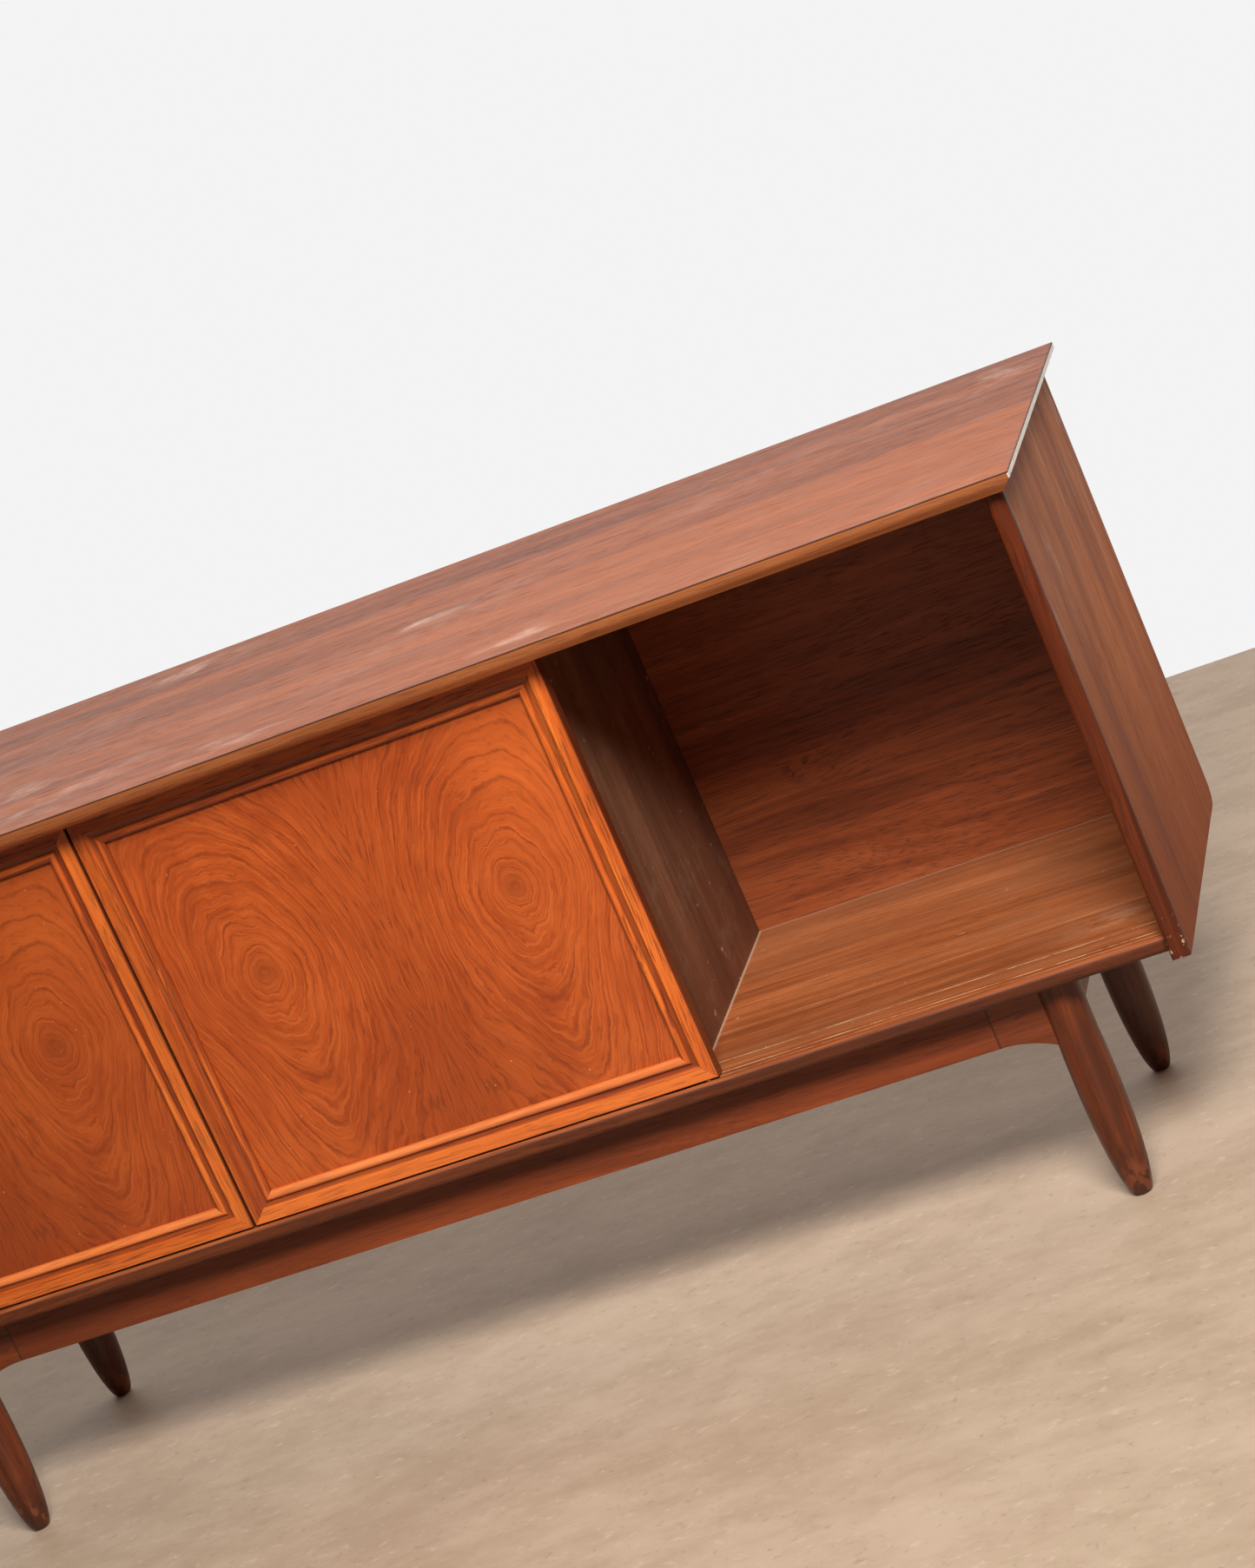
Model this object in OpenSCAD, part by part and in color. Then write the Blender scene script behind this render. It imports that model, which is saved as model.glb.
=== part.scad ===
/* [Overall] */
// Length of the top from end to end
length = 1472; // [1300:1:1700]
// Depth of the top from front to back
depth = 450; // [420:1:500]
// Height from the floor to the top surface
height = 700; // [660:1:760]

/* [Top] */
// Thickness of the top, veneer included
top_t = 21; // [19:0.5:26]
// Thickness of the veneer sheet laid over the top
veneer_t = 1.2; // [0.6:0.1:2]
// How far the rounded front edge of the top runs under
top_nose = 32; // [24:1:40]
// How far the end of the top stands out past the side
top_end_out = 15; // [10:1:20]
// Height of the square edge left above the bevel at each end
top_end_edge = 6; // [4:0.5:8]
// How far the top stands out behind the sides
top_back_out = 21; // [10:1:30]

/* [Case] */
// Thickness of the sides, the partition and the divider
panel_t = 18; // [16:1:22]
// Thickness of the case bottom and the shelves
board_t = 16; // [14:1:20]
// Height of the underside of the case bottom above the floor
bottom_z = 229; // [210:1:260]
// How far the sides reach below the underside of the case bottom
side_drop = 4; // [2:1:10]
// Radius of the lower back corner of the sides
side_corner_r = 20; // [10:1:30]
// How far the rounded lipping bulges from the front of a side
side_nose = 8; // [5:1:9]
// Thickness of the back panel
back_t = 5; // [3:0.5:8]
// Width of the solid lipping on the front of the case bottom
bottom_lip_w = 23; // [18:1:30]
// Distance from the right side's inner face to the partition
niche_w = 456; // [400:1:520]

/* [Doors] */
// Thickness of a door frame
door_t = 16; // [16:0.5:20]
// Width of the door frame seen from the front
frame_w = 29; // [28:0.5:34]
// Gap between the two doors
door_gap = 2.5; // [2:0.5:4]
// Gap above and below a door
door_end_gap = 2; // [2:0.5:3]
// How far the right door reaches past the partition
door_overhang = 22.5; // [18:0.5:24]
// Gap between the left door and the left side
door_side_gap = 3.5; // [3:0.5:5]
// Thickness of the veneered door panel
door_panel_t = 6; // [5:0.5:6]
// Depth from the front of the door frame to the panel
door_sink = 7; // [6:0.5:7]

/* [Hinges and catches] */
// Distance from a door's outer edge to its pivot
pivot_in = 12; // [12:0.5:14]
// Distance from the front of a door to its pivot
pivot_back = 7; // [7:0.5:8]
// Radius of a hinge pin
pin_r = 2.5; // [2:0.1:3]
// Radial clearance between a hinge pin and its bore
pin_play = 0.05; // [0.02:0.01:0.1]
// Length of a hinge leaf past its pivot
leaf_l = 42; // [36:1:50]
// Width of a hinge leaf
leaf_w = 10; // [9:0.5:10]
// Thickness of a hinge leaf
leaf_t = 2.5; // [2:0.1:3]

/* [Base] */
// Distance between the leg axes along the length
leg_span_x = 1172; // [1000:1:1250]
// Distance between the leg axes along the depth
leg_span_y = 282; // [240:1:310]
// Radius of a leg where the rails meet it
leg_r = 20; // [18:0.5:22]
// Radius of a leg at its thickest
leg_max_r = 20.8; // [18:0.1:23]
// Radius of the flat foot of a leg
foot_r = 8; // [6:0.5:12]
// Height of the long rails
rail_h = 51; // [44:1:56]
// Thickness of the long rails
rail_t = 20; // [16:1:22]
// Thickness of the end rails
end_rail_t = 16; // [14:1:20]
// Length from the leg axis to the far end of a bracket block
bracket_l = 70; // [60:1:90]
// How far a bracket block deepens towards its leg
bracket_drop = 12; // [8:1:16]

/* [Hidden] */
$fn = 96;

// Joinery that is the same throughout: depth of the housings, and of the rebate behind the case.
housing = 5;
rebate_w = 8;
edging_t = 0.8;
// How far the front lipping of the top laps behind the front of the sides.
nose_lap = 4;
// The outer skin of a side, which stops at the underside of the top.
side_skin = 4;
// How far the case bottom, the doors, the uprights and the shelves each stand back from the piece in front.
lip_set_back = 9;
door_set_back = 2;
upright_set_back = 4;
shelf_set_back = 8;
// A cut runs this far past the face it opens.
past = 1;

half_l = length / 2;
half_d = depth / 2;
top_low = height - top_t;
core_top = height - veneer_t;
nose_y = -half_d + top_nose;
core_front = nose_y + nose_lap;
side_out = half_l - top_end_out;
side_in = side_out - panel_t;
side_back = half_d - top_back_out;
back_front = side_back - back_t;
bottom_top = bottom_z + board_t;
side_low = bottom_z - side_drop;

part_right = side_in - niche_w;
part_left = part_right - panel_t;
door_low = bottom_top + door_end_gap;
door_high = top_low - door_end_gap;
door_h = door_high - door_low;
door_right = part_right + door_overhang;
door_left = -side_in + door_side_gap;
door_w = (door_right - door_left - door_gap) / 2;
seam_x = door_left + door_w + door_gap / 2;
lip_front = nose_y + lip_set_back;
door_front = lip_front + door_set_back;
door_back = door_front + door_t;
inner_front = door_back + upright_set_back;
shelf_front = inner_front + shelf_set_back;
shelf_z = (bottom_top + top_low - board_t) / 2;

// The door frame's moulding: the flat band's width, then the cove, then the bead, and the panel's groove.
panel_lap = 8;
frame_ease = 0.8;
frame_band = frame_w - 16;
cove_w = 6;
cove_depth = 3.6;
bead_half_w = 4.5;
bead_margin = 1;
bead_mid = frame_w - bead_margin - bead_half_w;
bead_foot = 4.4;
bead_rise = 3.8;

pivot_y = door_front + pivot_back;
left_pivot_x = door_left + pivot_in;
right_pivot_x = door_right - pivot_in;
screw_r = 1.6;
screw_head_r = 3.2;
screw_head_h = 1.8;
leaf_screw_l = 14;
// The two screws of a hinge leaf, measured back from its far end.
leaf_screw_in = [26, 8];
// The pin stops this far short of the leaf's far face, and the boss this far short of the door.
pin_short = 0.2;
boss_short = 0.1;

leg_x = leg_span_x / 2;
leg_y = leg_span_y / 2;
rail_low = bottom_z - rail_h;
cope_gap = 0.2;
tenon_t = 10;
tenon_h = 34;
tenon_in = 14;
bracket_x = leg_x - bracket_l;
bracket_run = bracket_l - leg_r;
bracket_arc_r = (bracket_run * bracket_run + bracket_drop * bracket_drop) / (2 * bracket_drop);
// A tenon starts this far behind the leg's surface, so that the coped shoulder stays whole.
tenon_root = 4;
cleat_t = 20;
cleat_l = 900;
base_screw_l = 30;
base_screw_x = 380;
back_screw_in = 60;
back_screw_x = 480;
// A screw hole that ends inside the wood runs this much deeper than its screw.
hole_deeper = 0.4;
catch_w = 12;
catch_h = 36;
catch_d = 25;
catch_z = top_low - 40;
catch_screw_in = 16;
catch_screw_z = 10;
strike_t = 1.5;
strike_w = 12;
strike_margin = 2;
strike_screw_l = 8;
// The closed door's strike stops this far from the catch.
catch_play = 0.1;

teak = "#9c5a34";
teak_light = "#b9683a";
teak_dark = "#5b2c1c";
panel_brown = "#8a5744";
brass = "#b08d4a";
steel = "#8c8c8c";

// ---------- shared shapes ----------

// A box given by two opposite corners.
module block(low, high) {
    translate(low) cube([high[0] - low[0], high[1] - low[1], high[2] - low[2]]);
}

// An outline in depth and height, drawn out along the length.
module along_length(from, to) {
    translate([from, 0, 0]) rotate([90, 0, 90]) linear_extrude(height = to - from) children();
}

// An outline in length and height, drawn out along the depth.
module along_depth(from, to) {
    translate([0, to, 0]) rotate([90, 0, 0]) linear_extrude(height = to - from) children();
}

// A wood screw standing with its head's flat face at the origin and its tip down.
module screw(len, play = 0) {
    translate([0, 0, -len]) cylinder(r = screw_r + play, h = len);
    translate([0, 0, -screw_head_h]) cylinder(r1 = screw_r + play, r2 = screw_head_r + play, h = screw_head_h);
}

// The ends of the top: a square edge above a bevel that runs in to the side's outer face.
module top_end_shape(inset = 0) {
    bevel_x = half_l - top_end_out;
    bevel_z = height - top_end_edge;
    along_depth(-half_d - 1, half_d + 1)
        polygon([[-bevel_x, top_low], [bevel_x, top_low], [half_l - inset, bevel_z], [half_l - inset, height + 1],
            [-half_l + inset, height + 1], [-half_l + inset, bevel_z]]);
}

// ---------- top ----------

// Housings in the underside of the top for the sides, the partition and the divider.
module top_housings() {
    for (flip = [0, 1]) mirror([flip, 0, 0])
        block([side_in, nose_y, top_low - 1], [side_out - side_skin, side_back, top_low + housing]);
    for (x = [part_left, seam_x - panel_t / 2])
        block([x, inner_front, top_low - 1], [x + panel_t, back_front, top_low + housing]);
}

module top_core() {
    color(panel_brown) difference() {
        intersection() {
            block([-half_l, core_front, top_low], [half_l, half_d, core_top]);
            top_end_shape(edging_t);
        }
        top_housings();
        hinge_cuts(true);
    }
}

module top_veneer() {
    color("#b27a65") block([-half_l, -half_d, core_top], [half_l, half_d, height]);
}

// The front lipping: a quarter of an ellipse that runs from the upper edge back under the top.
module top_front_lipping() {
    rise = core_top - top_low;
    nose = [for (a = [0:6:90]) [nose_y - top_nose * cos(a), core_top - rise * sin(a)]];
    color("#9a5a31") difference() {
        intersection() {
            along_length(-half_l, half_l)
                polygon(concat(nose, [[core_front, top_low], [core_front, core_top]]));
            top_end_shape(edging_t);
        }
        top_housings();
        hinge_cuts(true);
    }
}

// The thin pale strip on the square edge of an end. Its front end follows the front lipping's curve.
module top_end_edging(side) {
    low = height - top_end_edge;
    rise = core_top - top_low;
    reach = asin((core_top - low) / rise);
    front = [for (a = [0, reach / 2, reach]) [nose_y - top_nose * cos(a), core_top - rise * sin(a)]];
    x = side > 0 ? half_l - edging_t : -half_l;
    color("#d8d3ca") along_length(x, x + edging_t)
        polygon(concat(front, [[half_d, low], [half_d, core_top]]));
}

module top_end_edging_left() { top_end_edging(-1); }
module top_end_edging_right() { top_end_edging(1); }

// ---------- sides ----------

module side_outline() {
    r = side_corner_r;
    corner = [for (a = [0:9:90]) [side_back - r + r * sin(a), side_low + r - r * cos(a)]];
    polygon(concat([[nose_y, side_low]], corner, [[side_back, top_low + housing], [nose_y, top_low + housing]]));
}

module side_panel(side) {
    shelf_side = side < 0;
    color(panel_brown) mirror([side < 0 ? 1 : 0, 0, 0]) difference() {
        union() {
            along_length(side_in, side_out - side_skin) side_outline();
            intersection() {
                along_length(side_out - side_skin, side_out) side_outline();
                block([side_in, nose_y, side_low], [side_out, side_back, top_low]);
            }
        }
        // housing for the case bottom
        block([side_in - 1, nose_y - 1, bottom_z], [side_in + housing, back_front, bottom_top]);
        // rebate for the back panel
        block([side_in - 1, back_front, bottom_z], [side_in + rebate_w, side_back + past, top_low]);
        // housing for the shelf on the cupboard side
        if (shelf_side) block([side_in - 1, shelf_front, shelf_z], [side_in + housing, back_front, shelf_z + board_t]);
    }
}

module side_panel_left() { side_panel(-1); }
module side_panel_right() { side_panel(1); }

// The rounded lipping glued to the front of a side, rounded again at its lower end.
module side_lipping(side) {
    half_t = panel_t / 2;
    mid = side_in + half_t;
    end_r = 6;
    face = [for (a = [0:10:180]) [mid - half_t * cos(a), nose_y - side_nose * sin(a)]];
    foot = [for (a = [0:15:90]) [nose_y - side_nose + end_r - end_r * sin(a), side_low + end_r - end_r * cos(a)]];
    color(teak_dark) mirror([side < 0 ? 1 : 0, 0, 0]) intersection() {
        translate([0, 0, side_low]) linear_extrude(height = top_low - side_low) polygon(face);
        along_length(side_in, side_out)
            polygon(concat([[nose_y, side_low]], foot, [[nose_y - side_nose, top_low], [nose_y, top_low]]));
    }
}

module side_lipping_left() { side_lipping(-1); }
module side_lipping_right() { side_lipping(1); }

// ---------- inside the case ----------

module bottom_housings() {
    for (x = [part_left, seam_x - panel_t / 2])
        block([x, inner_front, bottom_top - housing], [x + panel_t, back_front, bottom_top + 1]);
}

module case_bottom() {
    color(teak) difference() {
        block([-side_in - housing, lip_front + bottom_lip_w, bottom_z], [side_in + housing, back_front, bottom_top]);
        bottom_housings();
        hinge_cuts(false);
        base_screw_set(true);
    }
}

module bottom_front_lipping() {
    soft = 5;
    back = lip_front + bottom_lip_w;
    upper = [for (a = [0:15:90]) [lip_front + soft - soft * cos(a), bottom_top - soft + soft * sin(a)]];
    lower = [for (a = [0:15:90]) [lip_front + soft - soft * sin(a), bottom_z + soft - soft * cos(a)]];
    color(teak_dark) difference() {
        along_length(-side_in - housing, side_in + housing)
            polygon(concat(lower, upper, [[back, bottom_top], [back, bottom_z]]));
        bottom_housings();
        hinge_cuts(false);
    }
}

module upright(x, right_shelf) {
    difference() {
        block([x, inner_front, bottom_top - housing], [x + panel_t, back_front, top_low + housing]);
        block([x - 1, shelf_front, shelf_z], [x + housing, back_front + 1, shelf_z + board_t]);
        if (right_shelf)
            block([x + panel_t - housing, shelf_front, shelf_z], [x + panel_t + 1, back_front + 1, shelf_z + board_t]);
        children();
    }
}

module partition() {
    color("#5a3a2a") upright(part_left, false);
}

module centre_divider() {
    color("#5a3a2a") upright(seam_x - panel_t / 2, true) catch_screw_set(true);
}

module back_panel() {
    color("#6b3a24") difference() {
        block([-side_in - rebate_w, back_front, bottom_z], [side_in + rebate_w, side_back, top_low]);
        back_screw_set(true);
    }
}

module back_screw_set(cutter = false) {
    edge_x = side_in + rebate_w / 2;
    for (x = [-edge_x, edge_x])
        for (z = [bottom_z + back_screw_in, (bottom_z + top_low) / 2, top_low - back_screw_in])
            translate([x, side_back, z]) rotate([-90, 0, 0]) screw(cutter ? back_t + past : back_t);
    for (x = [-back_screw_x, 0, back_screw_x])
        translate([x, side_back, bottom_z + board_t / 2]) rotate([-90, 0, 0]) screw(cutter ? back_t + past : back_t);
}

module back_panel_screws() { color(steel) back_screw_set(); }

module cupboard_shelf(from, to) {
    color(teak) block([from - housing, shelf_front, shelf_z], [to + housing, back_front, shelf_z + board_t]);
}

module cupboard_shelf_left() { cupboard_shelf(-side_in, seam_x - panel_t / 2); }
module cupboard_shelf_right() { cupboard_shelf(seam_x + panel_t / 2, part_left); }

// ---------- doors ----------

// Cross-section of a door frame: a flat band, a cove, a bead and the groove that holds the panel.
// First number: depth from the front. Second number: distance in from the door's outer edge.
module frame_profile() {
    groove_in = frame_w - panel_lap;
    groove_back = door_sink + door_panel_t;
    cove = [for (a = [0:15:90]) [cove_depth * sin(a), frame_band + cove_w * (1 - cos(a))]];
    bead = [for (a = [0:15:180]) [bead_foot - bead_rise * sin(a), bead_mid - bead_half_w * cos(a)]];
    polygon(concat([[frame_ease, 0], [0, frame_ease]], cove, bead, [[door_sink, frame_w - bead_margin],
        [door_sink, groove_in], [groove_back, groove_in], [groove_back, frame_w], [door_t, frame_w], [door_t, 0]]));
}

// One mitred frame member of a given length, lying along the length with its outer edge down.
module frame_member(len) {
    intersection() {
        along_length(0, len) frame_profile();
        along_depth(-1, door_t + 1) polygon([[0, 0], [len, 0], [len - frame_w, frame_w], [frame_w, frame_w]]);
    }
}

// Places a door's own frame, whose origin is its lower left front corner.
module at_door(left) {
    translate([left ? door_left : door_right - door_w, door_front, door_low]) children();
}

module door_rail(left, upper) {
    color(teak_light) difference() {
        at_door(left) translate([0, 0, upper ? door_h : 0]) mirror([0, 0, upper ? 1 : 0]) frame_member(door_w);
        door_hardware_cuts(left);
    }
}

module door_stile(left, right_hand) {
    color(teak_light) difference() {
        at_door(left) translate([right_hand ? door_w : 0, 0, 0]) mirror([right_hand ? 0 : 1, 0, 0])
            rotate([0, -90, 0]) frame_member(door_h);
        door_hardware_cuts(left);
    }
}

module door_panel(left) {
    in = frame_w - panel_lap;
    color("#a8552a") at_door(left)
        block([in, door_sink, in], [door_w - in, door_sink + door_panel_t, door_h - in]);
}

module left_door_panel() { door_panel(true); }
module left_door_bottom_rail() { door_rail(true, false); }
module left_door_top_rail() { door_rail(true, true); }
module left_door_hinge_stile() { door_stile(true, false); }
module left_door_closing_stile() { door_stile(true, true); }
module right_door_panel() { door_panel(false); }
module right_door_bottom_rail() { door_rail(false, false); }
module right_door_top_rail() { door_rail(false, true); }
module right_door_hinge_stile() { door_stile(false, true); }
module right_door_closing_stile() { door_stile(false, false); }

// ---------- hinges ----------

// A knife hinge leaf: a flat bar with one round end about the pivot, lying with its outer face at z = 0.
module leaf_body() {
    cylinder(r = leaf_w / 2, h = leaf_t);
    translate([0, -leaf_w / 2, 0]) cube([leaf_l, leaf_w, leaf_t]);
}

module leaf_screw_set(len) {
    for (in = leaf_screw_in) translate([leaf_l - in, 0, 0]) screw(len);
}

// Places a hinge pair's frame at its pivot, with z pointing into the door and x into the door's width.
module at_hinge(left, upper) {
    translate([left ? left_pivot_x : right_pivot_x, pivot_y, upper ? top_low : bottom_top])
        mirror([left ? 0 : 1, 0, 0]) mirror([0, 0, upper ? 1 : 0]) children();
}

module case_leaf(left, upper) {
    boss_h = door_end_gap - boss_short;
    color(brass) at_hinge(left, upper) {
        difference() {
            translate([0, 0, -leaf_t]) leaf_body();
            leaf_screw_set(leaf_screw_l);
        }
        cylinder(r = leaf_w / 2 - 1, h = boss_h);
        cylinder(r = pin_r, h = door_end_gap + leaf_t - pin_short);
    }
}

module door_leaf(left, upper) {
    color(brass) at_hinge(left, upper) translate([0, 0, door_end_gap]) difference() {
        leaf_body();
        translate([0, 0, -1]) cylinder(r = pin_r + pin_play, h = leaf_t + 2);
        mirror([0, 0, 1]) leaf_screw_set(leaf_screw_l);
    }
}

// The recesses and screw holes that the case leaves need.
module hinge_cuts(upper) {
    for (left = [true, false]) at_hinge(left, upper) {
        translate([0, 0, -leaf_t]) leaf_body();
        leaf_screw_set(leaf_screw_l);
    }
}

// The recesses and screw holes that the door leaves and the strike need.
module door_hardware_cuts(left) {
    for (upper = [true, false]) at_hinge(left, upper) translate([0, 0, door_end_gap]) {
        leaf_body();
        mirror([0, 0, 1]) leaf_screw_set(leaf_screw_l);
    }
    strike_screw(left);
}

module case_leaf_screws() {
    color(brass) for (left = [true, false]) for (upper = [true, false]) at_hinge(left, upper)
        leaf_screw_set(leaf_screw_l);
}

module door_screws(left) {
    color(brass) {
        for (upper = [true, false]) at_hinge(left, upper) translate([0, 0, door_end_gap]) mirror([0, 0, 1])
            leaf_screw_set(leaf_screw_l);
        strike_screw(left);
    }
}

module left_lower_case_leaf() { case_leaf(true, false); }
module left_upper_case_leaf() { case_leaf(true, true); }
module right_lower_case_leaf() { case_leaf(false, false); }
module right_upper_case_leaf() { case_leaf(false, true); }
module left_lower_door_leaf() { door_leaf(true, false); }
module left_upper_door_leaf() { door_leaf(true, true); }
module right_lower_door_leaf() { door_leaf(false, false); }
module right_upper_door_leaf() { door_leaf(false, true); }
module left_door_screws() { door_screws(true); }
module right_door_screws() { door_screws(false); }

// ---------- catches ----------

// Places a catch's frame on the divider's face, with x pointing away from the divider.
module at_catch(left) {
    translate([seam_x, 0, catch_z]) mirror([left ? 1 : 0, 0, 0]) translate([panel_t / 2, 0, 0]) children();
}

module door_catch(left) {
    front = door_back + strike_t + catch_play;
    color("#4a3428") difference() {
        at_catch(left) block([0, front, -catch_h / 2], [catch_w, front + catch_d, catch_h / 2]);
        catch_screw_set();
    }
}

module catch_screw_set(cutter = false) {
    for (left = [true, false]) for (z = [-catch_screw_z, catch_screw_z])
        at_catch(left) translate([catch_w, door_back + catch_screw_in, z]) rotate([0, 90, 0])
            screw(catch_w + housing + (cutter ? hole_deeper : 0));
}

module strike_screw(left) {
    at_catch(left) translate([catch_w / 2, door_back + strike_t, 0]) rotate([-90, 0, 0]) screw(strike_screw_l);
}

module door_strike(left) {
    color(steel) difference() {
        at_catch(left) block([catch_w / 2 - strike_w / 2, door_back, -catch_h / 2 + strike_margin],
            [catch_w / 2 + strike_w / 2, door_back + strike_t, catch_h / 2 - strike_margin]);
        strike_screw(left);
    }
}

module left_door_catch() { door_catch(true); }
module right_door_catch() { door_catch(false); }
module left_door_strike() { door_strike(true); }
module right_door_strike() { door_strike(false); }
module catch_screws() { color(steel) catch_screw_set(); }

// ---------- base ----------

// A turned leg: a round foot, a slow swell and a straight top that the rails meet.
function leg_radius(z) =
    let (swell_z = rail_low - 45)
    z > swell_z
        ? leg_max_r - (leg_max_r - leg_r) * min(1, pow((z - swell_z) / 30, 2))
        : foot_r + (leg_max_r - foot_r) * pow(1 - pow(1 - z / swell_z, 2.6), 0.62);

module leg_turning() {
    straight = rail_low - bracket_drop;
    steps = [0, 1.5, 4, 8, 14, 22, 32, 44, 58, 74, 92, 112, straight - 18, straight - 8, straight];
    rotate_extrude() polygon(concat([[0, 0]], [for (z = steps) [leg_radius(z), z]],
        [[leg_r, bottom_z], [0, bottom_z]]));
}

// The rail tenons that enter a leg, in a frame at the leg's axis whose x and y point to the case's middle.
module leg_tenons(play = 0) {
    low = bottom_z - (rail_h + tenon_h) / 2;
    reach = leg_r + tenon_root;
    block([leg_r - tenon_in, -tenon_t / 2, low], [reach, tenon_t / 2, low + tenon_h]);
    block([-tenon_t / 2, leg_r - tenon_in, low], [tenon_t / 2, reach, low + tenon_h]);
}

// Mirrors a front right shape to one of the four corners: sx and sy are -1 or 1.
module at_leg(sx, sy) {
    mirror([sx < 0 ? 1 : 0, 0, 0]) mirror([0, sy < 0 ? 1 : 0, 0]) translate([leg_x, leg_y, 0])
        mirror([1, 0, 0]) mirror([0, 1, 0]) children();
}

module leg(sx, sy) {
    color(teak_dark) at_leg(sx, sy) difference() {
        leg_turning();
        leg_tenons();
    }
}

// The bracket block between a leg and a long rail, with its tenon.
module bracket(sx, sy) {
    low = rail_low - bracket_drop - 1;
    tenon_low = bottom_z - (rail_h + tenon_h) / 2;
    color(teak) at_leg(sx, sy) {
        difference() {
            block([0, -rail_t / 2, low], [bracket_l, rail_t / 2, bottom_z]);
            translate([0, 0, low - 1]) cylinder(r = leg_r + cope_gap, h = rail_h + bracket_drop + 4);
            translate([bracket_l, rail_t / 2 + 1, rail_low - bracket_arc_r]) rotate([90, 0, 0])
                cylinder(r = bracket_arc_r, h = rail_t + 2, $fn = 180);
        }
        block([leg_r - tenon_in, -tenon_t / 2, tenon_low], [leg_r + tenon_root, tenon_t / 2, tenon_low + tenon_h]);
    }
}

module long_rail(sy) {
    color(teak) block([-bracket_x, sy * leg_y - rail_t / 2, rail_low], [bracket_x, sy * leg_y + rail_t / 2, bottom_z]);
}

module end_rail(sx) {
    reach = leg_y;
    x = sx * leg_x;
    tenon_low = bottom_z - (rail_h + tenon_h) / 2;
    tenon_end = leg_y - leg_r + tenon_in;
    color(teak) {
        difference() {
            block([x - end_rail_t / 2, -reach, rail_low], [x + end_rail_t / 2, reach, bottom_z]);
            for (sy = [-1, 1]) translate([x, sy * leg_y, rail_low - 1]) cylinder(r = leg_r + cope_gap, h = rail_h + 2);
        }
        for (sy = [-1, 1]) {
            near = sy * (leg_y - leg_r - tenon_root);
            far = sy * tenon_end;
            block([x - tenon_t / 2, min(near, far), tenon_low], [x + tenon_t / 2, max(near, far), tenon_low + tenon_h]);
        }
    }
}

module front_rail() { long_rail(-1); }
module rear_rail() { long_rail(1); }
module left_end_rail() { end_rail(-1); }
module right_end_rail() { end_rail(1); }
module front_left_bracket() { bracket(-1, -1); }
module front_right_bracket() { bracket(1, -1); }
module rear_left_bracket() { bracket(-1, 1); }
module rear_right_bracket() { bracket(1, 1); }
module front_left_leg() { leg(-1, -1); }
module front_right_leg() { leg(1, -1); }
module rear_left_leg() { leg(-1, 1); }
module rear_right_leg() { leg(1, 1); }

// A batten along the inner face of a long rail that carries the screws into the case bottom.
module cleat(sy) {
    inner = leg_y - rail_t / 2;
    y0 = sy < 0 ? -inner : inner - cleat_t;
    color(teak) difference() {
        block([-cleat_l / 2, y0, bottom_z - cleat_t], [cleat_l / 2, y0 + cleat_t, bottom_z]);
        base_screw_set();
    }
}

module base_screw_set(cutter = false) {
    inner = leg_y - rail_t / 2 - cleat_t / 2;
    for (x = [-base_screw_x, 0, base_screw_x]) for (y = [-inner, inner])
        translate([x, y, bottom_z - cleat_t]) mirror([0, 0, 1]) screw(base_screw_l + (cutter ? hole_deeper : 0));
}

module front_cleat() { cleat(-1); }
module rear_cleat() { cleat(1); }
module base_screws() { color(steel) base_screw_set(); }

top_core();
top_veneer();
top_front_lipping();
top_end_edging_left();
top_end_edging_right();
side_panel_left();
side_panel_right();
side_lipping_left();
side_lipping_right();
case_bottom();
bottom_front_lipping();
partition();
centre_divider();
back_panel();
back_panel_screws();
cupboard_shelf_left();
cupboard_shelf_right();
left_door_panel();
left_door_bottom_rail();
left_door_top_rail();
left_door_hinge_stile();
left_door_closing_stile();
right_door_panel();
right_door_bottom_rail();
right_door_top_rail();
right_door_hinge_stile();
right_door_closing_stile();
left_lower_case_leaf();
left_upper_case_leaf();
right_lower_case_leaf();
right_upper_case_leaf();
left_lower_door_leaf();
left_upper_door_leaf();
right_lower_door_leaf();
right_upper_door_leaf();
case_leaf_screws();
left_door_screws();
right_door_screws();
left_door_catch();
right_door_catch();
left_door_strike();
right_door_strike();
catch_screws();
front_rail();
rear_rail();
left_end_rail();
right_end_rail();
front_left_bracket();
front_right_bracket();
rear_left_bracket();
rear_right_bracket();
front_left_leg();
front_right_leg();
rear_left_leg();
rear_right_leg();
front_cleat();
rear_cleat();
base_screws();
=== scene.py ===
import math

import bpy
from mathutils import Matrix, Vector


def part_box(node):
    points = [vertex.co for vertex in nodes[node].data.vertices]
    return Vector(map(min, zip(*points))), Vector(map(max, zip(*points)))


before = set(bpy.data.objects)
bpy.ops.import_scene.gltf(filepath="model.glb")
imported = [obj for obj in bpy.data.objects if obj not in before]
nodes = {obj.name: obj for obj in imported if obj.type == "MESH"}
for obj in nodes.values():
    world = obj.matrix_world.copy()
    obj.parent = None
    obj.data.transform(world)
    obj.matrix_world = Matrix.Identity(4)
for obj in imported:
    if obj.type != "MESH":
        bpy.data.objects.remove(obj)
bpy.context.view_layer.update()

ALONG_X, ALONG_Y, ALONG_Z = 0, 1, 2
SIDES = ("left", "right")

# The viewing angle: where the camera stands, how it is turned and how it leans.
CAMERA_PLACE = Vector((1.39166, -3.63903, 1.48376))
CAMERA_TURN = math.radians(17.491)
CAMERA_DROP = math.radians(14.617)
CAMERA_ROLL = math.radians(-23.737)
LENS_MM = 95.914
SENSOR_MM = 36.0

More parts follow.
